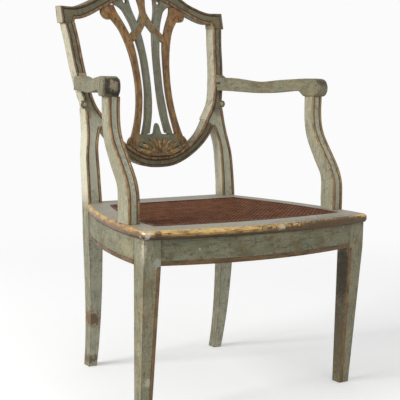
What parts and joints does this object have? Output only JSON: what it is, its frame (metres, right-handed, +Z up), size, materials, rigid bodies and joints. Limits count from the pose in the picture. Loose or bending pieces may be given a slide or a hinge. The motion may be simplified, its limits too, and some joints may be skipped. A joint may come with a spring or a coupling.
{
  "type": "shield back dining armchair",
  "caption": "Painted and parcel gilt wooden open armchair with a pierced shield back, carved shell, curved arms, bowed caned seat, square tapered front legs and splayed rear legs.",
  "frame": {"origin": "on the floor under the middle of the chair's box", "axes": "+Z up, the chair faces -Y, +X to the right seen from the front"},
  "size_m": [0.6312, 0.6549, 0.984],
  "materials": {
    "painted_wood": "worn grey green paint with gilt lines",
    "gilt_wood": "worn gilding on a brown ground",
    "cane": "dark woven cane",
    "bare_wood": "unfinished beech",
    "iron": "dull dark iron"
  },
  "bodies": {
    "root": {"front_left_leg": "painted_wood", "front_right_leg": "painted_wood", "rear_left_stile": "painted_wood", "rear_right_stile": "painted_wood", "front_seat_rail": "painted_wood", "left_seat_rail": "painted_wood", "right_seat_rail": "painted_wood", "rear_seat_rail": "painted_wood", "seat_frame_front": "painted_wood", "seat_frame_left": "painted_wood", "seat_frame_right": "painted_wood", "seat_frame_back": "painted_wood", "cane_panel": "cane", "cane_binding": "cane", "left_arm": "painted_wood", "right_arm": "painted_wood", "left_arm_support": "painted_wood", "right_arm_support": "painted_wood", "crest_rail": "painted_wood", "shield_lower_rail": "painted_wood", "splat": "painted_wood", "shell_carving": "gilt_wood", "front_left_corner_block": "bare_wood", "front_right_corner_block": "bare_wood", "rear_left_corner_block": "bare_wood", "rear_right_corner_block": "bare_wood", "corner_block_screws": "iron", "arm_screws": "iron"}
  },
  "joints": []
}
